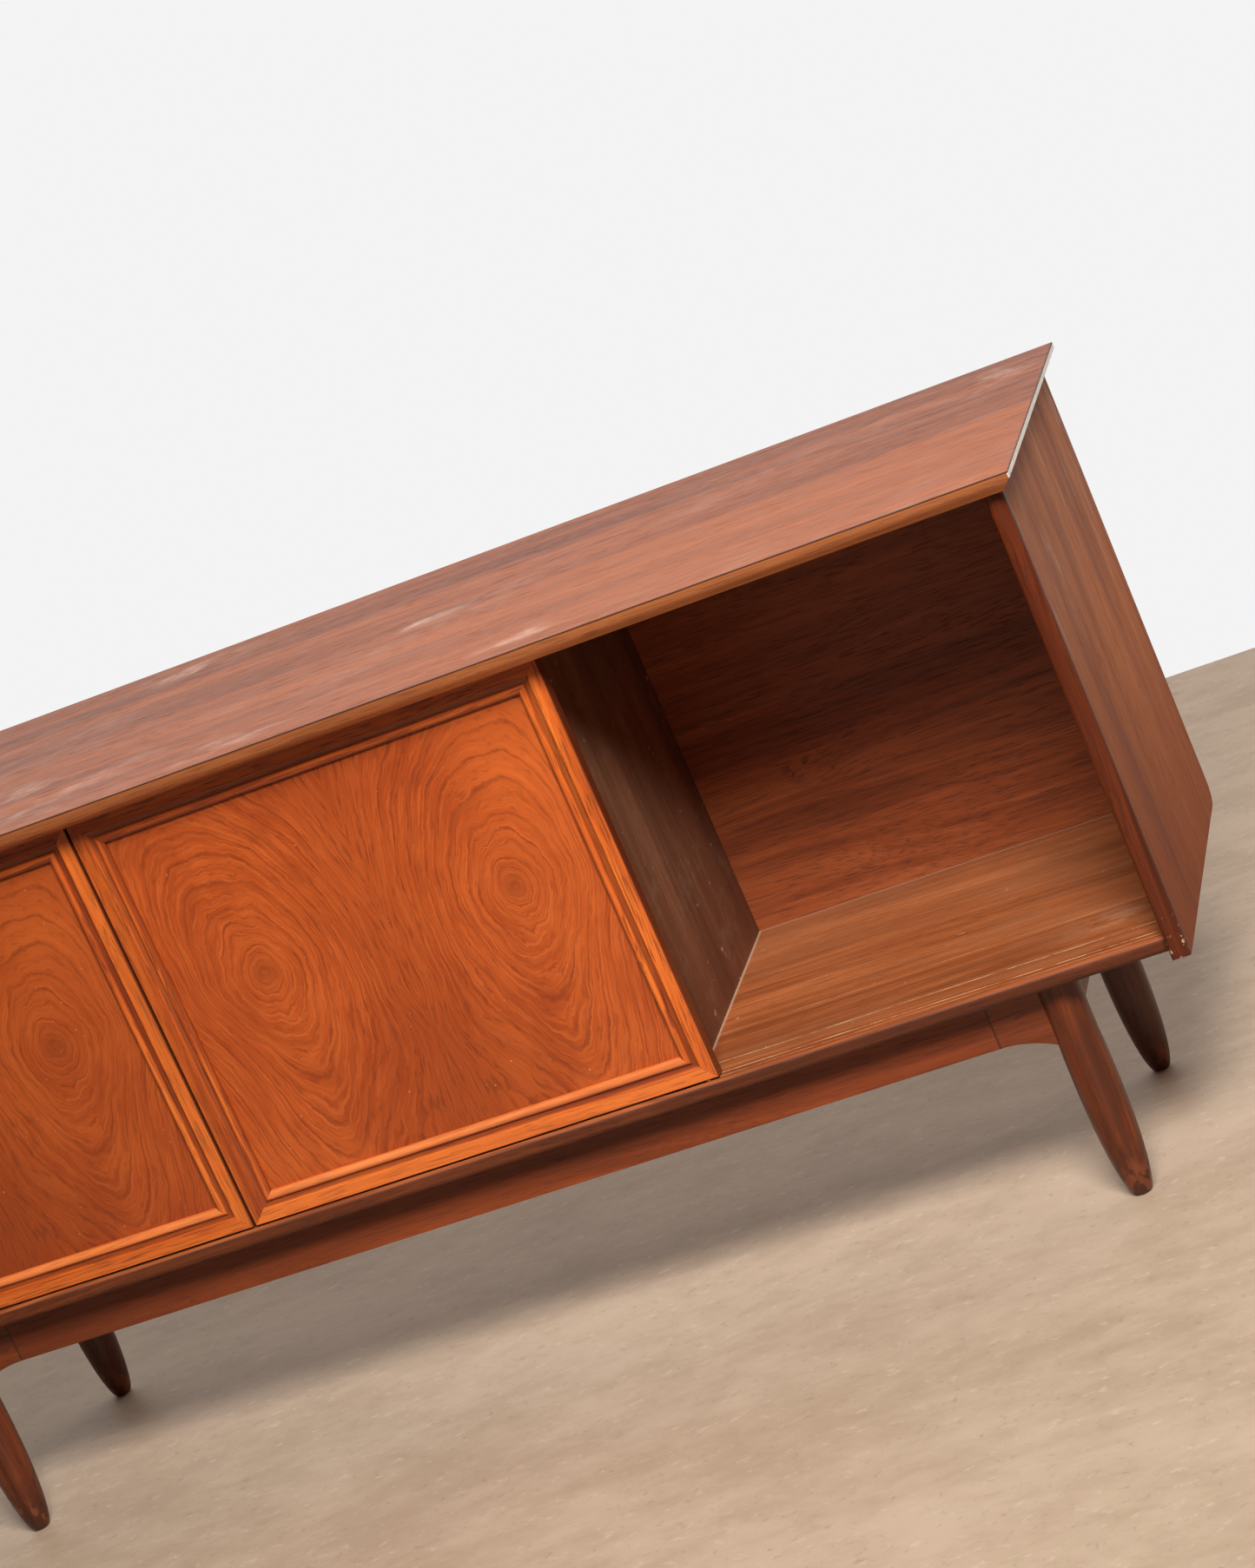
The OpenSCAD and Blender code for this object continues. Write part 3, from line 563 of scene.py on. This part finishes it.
def door_rings(s, half, z, eye_z, mirrored):
    """How far each point is from its eye, with the waver of real growth rings."""
    slow = s.sway((9.0, 1.0, 7.0), (1.0, 0.0, 0.0), vector=mirrored)
    lift = s.sway((9.0, 1.0, 7.0), (6.0, 0.0, 4.0), vector=mirrored)
    quick = s.sway((46.0, 1.0, 30.0), (1.0, 0.0, 0.0), 4.0, 0.6, mirrored)
    own = s.sway((22.0, 1.0, 16.0), (9.0, 0.0, 2.0), 2.0)
    up = s.add(s.sub(z, eye_z), s.mul(lift, 0.03))
    soft = s.math("SQRT", s.add(s.mul(up, up), EYE_BEND * EYE_BEND))
    lean = s.mul(s.add(soft, up), EYE_LEAN / 2)
    across = s.math("ABSOLUTE", s.add(s.sub(s.sub(half, EYE_OUT), lean), s.mul(slow, 0.03)))
    beside = s.math("EXPONENT", s.mul(s.mul(half, half), -1.0 / (CALM_WIDTH * CALM_WIDTH)))
    reach = ring_reach(s, across, up, s.sub(1.0, s.mul(beside, CALM_SHARE)))
    loose = s.span(reach, 0.02, 0.08, 2.6, 1.0)
    waver = s.mul(s.add(s.mul(quick, 0.006), s.mul(own, 0.003)), loose)
    return s.most(s.add(reach, waver), 0.0)


def ring_lines(s, reach, half, mirrored):
    """The thin dark line at the end of each ring, and the slow darkening towards it."""
    spacing = s.noise(s.vector(s.mul(reach, 34.0), 0.0, 0.0), 1.0, 1.0)
    rings = s.mul(s.math("POWER", s.mul(reach, 10.0), 0.8), 12.0)
    saw = s.math("FRACT", s.add(rings, s.mul(spacing, 2.0)))
    line = s.mul(s.span(saw, 0.80, 0.93), s.span(saw, 1.0, 0.94))
    strong = s.patches((18.0, 1.0, 11.0), (0.0, 0.0, 5.0), 3.0, 0.6, 0.3, 0.7, mirrored)
    line = s.mul(line, s.mul(s.add(s.mul(strong, 0.7), 0.3), s.span(half, 0.01, 0.08, 0.45, 1.0)))
    band = s.mul(s.span(saw, 0.15, 0.95), 0.08)
    return s.math("ADD", s.mul(line, 0.46), band, clamp=True)


def door_panel(side):
    low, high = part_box(side + "_door_panel")
    middle = (low.x + high.x) / 2 + MIRROR_SHIFT
    eye_z = (low.z + high.z) / 2 + EYE_UP
    dark, base_tone, light = TONES["door_figure"]
    s = Shader("figured_veneer_" + side)
    x, _, z = s.axes()
    half = s.gap(x, middle)
    mirrored = s.vector(half, 0.0, z)
    reach = door_rings(s, half, z, eye_z, mirrored)
    fibre = s.noise(s.vector(s.mul(reach, 760.0), s.mul(half, 16.0), s.mul(z, 13.0)), 1.0, 3.0, 0.65)
    hair = s.noise(s.vector(s.mul(reach, 1300.0), s.mul(half, 50.0), s.mul(z, 34.0)), 1.0, 2.0, 0.6)
    cloud = s.field((9.0, 1.0, 6.0), (2.0, 0.0, 1.0), 4.0, 0.6)
    tone = s.add(s.mul(fibre, 0.45), s.add(s.mul(cloud, 0.35), s.mul(hair, 0.2)))
    colour = s.ramp(s.span(tone, 0.38, 0.62), (0.0, dark), (0.5, base_tone), (1.0, light))
    middle_shade = s.mul(s.span(half, 0.09, 0.0), 0.28)
    foot_shade = s.mul(s.mul(s.span(z, eye_z - 0.03, low.z + 0.03), s.span(half, 0.17, 0.08)), 0.36)
    colour = s.mix(s.math("ADD", middle_shade, foot_shade, clamp=True), colour, srgb(126, 47, 11))
    crown = s.mul(s.span(z, eye_z - 0.02, eye_z + 0.12), s.span(half, 0.08, 0.17))
    crown = s.mul(crown, s.span(x, middle - 0.1, middle + 0.1, 0.1, 0.6))
    colour = s.mix(crown, colour, srgb(192, 92, 36))
    # Painted shade: the left door's panel is made darker, as the light falls off towards the left.
    if side == "left":
        colour = s.mix(0.26, colour, srgb(118, 46, 14))
    # Painted shadow of the rail and the top along the panel's upper edge.
    painted_top_shadow = s.span(z, high.z - 0.075, high.z - 0.02)
    colour = s.tint(colour, painted_top_shadow, 0.3, srgb(124, 48, 16))
    colour = s.mix(ring_lines(s, reach, half, mirrored), colour, srgb(104, 40, 14))
    colour = s.tint(colour, s.span(reach, 0.022, 0.006), 0.3, srgb(108, 44, 18))
    dashes = s.noise(s.vector(s.mul(reach, 620.0), s.mul(half, 90.0), s.mul(z, 44.0)), 1.0, 1.0, 0.4)
    dash = s.span(dashes, 0.58, 0.66)
    colour = s.mix(s.mul(dash, s.span(half, 0.14, 0.0, 0.22, 0.45)), colour, srgb(92, 36, 15))
    fleck = s.span(s.noise(s.place, 210.0, 1.0), 0.79, 0.82)
    colour = s.tint(colour, fleck, 0.6, srgb(214, 140, 92))
    s.set(Roughness=s.span(fibre, 0.2, 0.8, 0.30, 0.46), Coat_Weight=0.22, Coat_Roughness=0.2,
          Specular_IOR_Level=0.35)
    s.bump(s.sub(s.mul(fibre, 0.4), dash), 0.15, 0.0003)
    paint(s, colour, side + "_door_panel")


def frame_member(node, low, high):
    """One member of a door's frame. The box is the whole door's."""
    axis = ALONG_X if node.endswith("rail") else ALONG_Z
    s = wood("frame_wood_" + node, axis, TONES["door_frame"], band=70.0, streak=420.0, long=7.0, contrast=1.15,
             pore=0.62, rough=0.34, coat=0.3, seed=16.0 + axis)
    x, y, z = s.axes()
    inset_x = s.least(s.sub(x, low.x), s.sub(high.x, x))
    inset_z = s.least(s.sub(z, low.z), s.sub(high.z, z))
    inset = s.least(inset_x, inset_z)
    front = s.span(y, low.y + MOULDING_DEPTH, low.y + MOULDING_DEPTH - 2 * BLUR)
    # Painted shade in the cove of the moulding, on its front.
    painted_cove_shade = s.mul(s.span(inset, COVE_START - BLUR, COVE_START + BLUR), s.span(inset, COVE_END + BLUR, COVE_END - BLUR))
    colour = s.tint(s.colour, s.mul(painted_cove_shade, front), 0.62, srgb(94, 38, 17))
    if node.endswith("bottom_rail"):
        # Painted highlight on the bottom rail's upward-facing bead, in patches of varying strength.
        rub = s.span(s.field((18.0, 90.0, 90.0), detail=3.0, rough=0.6), 0.35, 0.7, 0.35, 0.6)
        crest = s.mul(s.span(inset, COVE_END, COVE_END + 2 * BLUR), front)
        colour = s.tint(colour, crest, rub, srgb(232, 140, 80))
    else:
        slope = s.mul(s.span(inset, SLOPE_START - BLUR, SLOPE_START + BLUR), front)
        colour = s.tint(colour, slope, 0.55, SHADED_FRAME)
    share, tone = FRAME_TINTS[node]
    # The top rails are mixed towards SHADED_FRAME: a painted shadow under the top's overhang.
    if node.endswith("top_rail"):
        colour = s.mix(share, colour, tone)
    else:
        flat = s.span(inset, COVE_START, COVE_START - 2 * BLUR)
        colour = s.tint(colour, flat, share, tone)
    outer = s.most(s.span(inset, 0.0012, 0.0004), s.span(y, high.y - 0.0006, high.y - 0.0001))
    paint(s, s.tint(colour, outer, 0.85, srgb(84, 34, 16)), node)


def door_frame(side):
    members = [f"{side}_door_{part}" for part in ("bottom_rail", "top_rail", "hinge_stile", "closing_stile")]
    boxes = [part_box(member) for member in members]
    low = Vector(tuple(min(a[i] for a, b in boxes) for i in range(3)))
    high = Vector(tuple(max(b[i] for a, b in boxes) for i in range(3)))
    for member in members:
        frame_member(member, low, high)


# ---------------------------------------------------------------- the base
def base():
    s = wood("base_rails", ALONG_X, TONES["rail"], band=28.0, streak=180.0, contrast=0.9, pore=0.3, rough=0.5,
             coat=0.05, seed=20.0)
    x, _, _ = s.axes()
    # Painted shade: the rails darken towards the left end, where less light falls.
    colour = s.mix(s.span(x, 0.0, -0.5, 0.0, 0.45), s.colour, srgb(72, 28, 9))
    paint(s, colour, "front_rail", "rear_rail", "front_cleat", "rear_cleat")
    s = wood("base_ends", ALONG_Y, TONES["end_rail"], band=24.0, streak=180.0, pore=0.4, rough=0.6, seed=21.0)
    give(s, "left_end_rail", "right_end_rail")
    s = wood("base_brackets", ALONG_X, TONES["bracket"], band=34.0, streak=150.0, pore=0.4, rough=0.45, coat=0.1,
             seed=27.0)
    x, _, _ = s.axes()
    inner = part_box("front_right_bracket")[0].x
    joint = s.span(s.math("ABSOLUTE", x), inner + 0.0026, inner + 0.0010)
    colour = s.tint(s.colour, joint, 0.75, srgb(40, 18, 9))
    paint(s, colour, "front_left_bracket", "front_right_bracket", "rear_left_bracket", "rear_right_bracket")


def leg(end, side):
    node = f"{end}_{side}_leg"
    seed = LEG_SEEDS[node]
    grime = 0.6 if end == "front" else 0.2
    s = wood(node + "_wood", ALONG_Z, TONES[end + "_leg"], band=60.0, streak=320.0, pore=0.25, rough=0.42, coat=0.12,
             seed=seed)
    _, _, z = s.axes()
    shaded = s.patches((34.0, 34.0, 9.0), (seed, 0.0, 0.0), 3.0, 0.55, 0.48, 0.68)
    colour = s.tint(s.colour, shaded, 0.5, srgb(50, 24, 13))
    ragged = s.add(z, s.mul(s.field((50.0, 50.0, 22.0), detail=4.0, rough=0.65), 0.04))
    foot = s.span(ragged, 0.095, 0.030)
    colour = s.tint(colour, foot, grime, srgb(44, 24, 16))
    speckle = s.patches((80.0, 80.0, 45.0), (0.0, 0.0, 0.0), 3.0, 0.6, 0.5, 0.58)
    chip = s.mul(s.span(ragged, 0.062, 0.040), speckle)
    paint(s, s.tint(colour, chip, 0.45, srgb(146, 74, 40)), node)


# ---------------------------------------------------------------- hardware
def metal(name, bright, dull, rough):
    s = Shader(name)
    patch = s.noise(s.place, 120.0, 4.0, 0.65)
    brush = s.field((40.0, 900.0, 900.0))
    s.set(Base_Color=s.ramp(patch, (0.35, dull), (0.65, bright)), Metallic=1.0)
    s.set(Roughness=s.span(s.add(s.mul(patch, 0.5), s.mul(brush, 0.5)), 0.3, 0.7, rough, rough + 0.2))
    s.bump(brush, 0.2, 0.0001)
    return s


def hardware():
    brass = metal("brass", srgb(206, 168, 96), srgb(140, 104, 56), 0.25)
    steel = metal("steel", srgb(190, 190, 188), srgb(128, 124, 118), 0.3)
    for side in SIDES:
        for level in ("lower", "upper"):
            give(brass, f"{side}_{level}_case_leaf", f"{side}_{level}_door_leaf")
        give(brass, side + "_door_screws")
        give(steel, side + "_door_strike")
    give(brass, "case_leaf_screws")
    give(steel, "back_panel_screws", "catch_screws", "base_screws")
    s = Shader("catch_body")
    grit = s.noise(s.place, 700.0, 3.0, 0.6)
    s.set(Roughness=s.span(grit, 0.2, 0.8, 0.4, 0.6))
    s.bump(grit, 0.2, 0.0001)
    colour = s.ramp(grit, (0.3, srgb(86, 50, 34)), (0.7, srgb(108, 66, 44)))
    paint(s, colour, "left_door_catch", "right_door_catch")


# ---------------------------------------------------------------- stage, light and camera
def flat_sheet(name, y0, y1):
    """A flat sheet just under the feet, as wide as the stage, from y0 to y1."""
    mesh = bpy.data.meshes.new(name)
    corners = [(-STAGE_HALF, y0, 0), (STAGE_HALF, y0, 0), (STAGE_HALF, y1, 0), (-STAGE_HALF, y1, 0)]
    mesh.from_pydata(corners, [], [(0, 1, 2, 3)])
    sheet = bpy.data.objects.new(name, mesh)
    bpy.context.scene.collection.objects.link(sheet)
    sheet.location.z = -STAGE_DROP
    return sheet


def stone_floor():
    floor = flat_sheet("floor", -STAGE_HALF, WALL_Y)
    s = Shader("floor_stone")
    cloud = s.field((2.6, 4.0, 1.0), detail=6.0, rough=0.66)
    vein = s.field((15.0, 26.0, 1.0), (3.0, 1.0, 0.0), 5.0, 0.7)
    tone = s.add(s.mul(cloud, 0.6), s.mul(vein, 0.4))
    colour = s.ramp(s.span(tone, 0.36, 0.64), (0.0, srgb(166, 143, 120)), (1.0, srgb(185, 163, 141)))
    speck = s.span(s.noise(s.place, 75.0, 4.0, 0.72), 0.57, 0.72)
    colour = s.tint(colour, speck, 0.4, srgb(128, 104, 84))
    light_speck = s.patches((48.0, 70.0, 1.0), (5.0, 2.0, 0.0), 3.0, 0.65, 0.58, 0.72)
    colour = s.tint(colour, light_speck, 0.4, srgb(206, 188, 168))
    s.set(Base_Color=colour, Roughness=0.6)
    s.bump(s.sub(vein, speck), 0.2, 0.0006)
    floor.data.materials.append(s.material)


def white_wall():
    """The room's wall: a flat white sheet that starts where the floor ends."""
    wall = flat_sheet("wall_light", WALL_Y, STAGE_FAR)
    material = bpy.data.materials.new("wall_white")
    material.use_nodes = True
    tree = material.node_tree
    tree.nodes.clear()
    glow = tree.nodes.new("ShaderNodeEmission")
    glow.inputs["Color"].default_value = (1.0, 1.0, 1.0, 1.0)
    glow.inputs["Strength"].default_value = WALL_GLOW
    out = tree.nodes.new("ShaderNodeOutputMaterial")
    tree.links.new(glow.outputs[0], out.inputs["Surface"])
    wall.data.materials.append(material)


def key_light():
    data = bpy.data.lights.new("key", "AREA")
    data.shape = "RECTANGLE"
    data.size, data.size_y = KEY_SIZE
    data.energy = KEY_WATTS
    data.color = KEY_COLOUR
    data.spread = KEY_SPREAD
    lamp = bpy.data.objects.new("key", data)
    bpy.context.scene.collection.objects.link(lamp)
    lamp.location = KEY_PLACE
    lamp.rotation_euler = (Vector(KEY_TARGET) - Vector(KEY_PLACE)).to_track_quat("-Z", "Y").to_euler()


def room_light():
    """Even light from all round, dim in front of the piece and bright behind it."""
    world = bpy.data.worlds.new("studio")
    bpy.context.scene.world = world
    world.use_nodes = True
    tree = world.node_tree
    background = tree.nodes["Background"]
    background.inputs["Color"].default_value = ROOM_COLOUR
    way = tree.nodes.new("ShaderNodeTexCoord").outputs["Generated"]
    split = tree.nodes.new("ShaderNodeSeparateXYZ")
    tree.links.new(way, split.inputs[0])
    share = tree.nodes.new("ShaderNodeMapRange")
    share.interpolation_type = "SMOOTHSTEP"
    tree.links.new(split.outputs["Y"], share.inputs["Value"])
    share.inputs["From Min"].default_value = -0.15
    share.inputs["From Max"].default_value = 0.9
    share.inputs["To Min"].default_value = ROOM_FRONT
    share.inputs["To Max"].default_value = ROOM_BACK
    tree.links.new(share.outputs[0], background.inputs["Strength"])


def camera():
    data = bpy.data.cameras.new("camera")
    data.lens = LENS_MM
    data.sensor_width = SENSOR_MM
    data.clip_start = 0.05
    data.clip_end = 300.0
    turn, drop, roll = CAMERA_TURN, CAMERA_DROP, CAMERA_ROLL
    ahead = Vector((-math.sin(turn) * math.cos(drop), math.cos(turn) * math.cos(drop), -math.sin(drop)))
    level = Vector((math.cos(turn), math.sin(turn), 0.0))
    above = level.cross(ahead)
    right = level * math.cos(roll) + above * math.sin(roll)
    up = above * math.cos(roll) - level * math.sin(roll)
    view = bpy.data.objects.new("camera", data)
    bpy.context.scene.collection.objects.link(view)
    view.matrix_world = Matrix.Translation(CAMERA_PLACE) @ Matrix((right, up, -ahead)).transposed().to_4x4()
    bpy.context.scene.camera = view
    bpy.context.scene.view_settings.view_transform = "Standard"


camera()
stone_floor()
white_wall()
key_light()
room_light()
top_veneer()
top_lipping()
top_ends_and_core()
for side in SIDES:
    side_panel(side)
    side_lipping(side)
worn_board()
bottom_lipping()
upright("partition")
upright("centre_divider")
back_panel()
for side in SIDES:
    door_panel(side)
    door_frame(side)
base()
for end in ("front", "rear"):
    for side in SIDES:
        leg(end, side)
hardware()
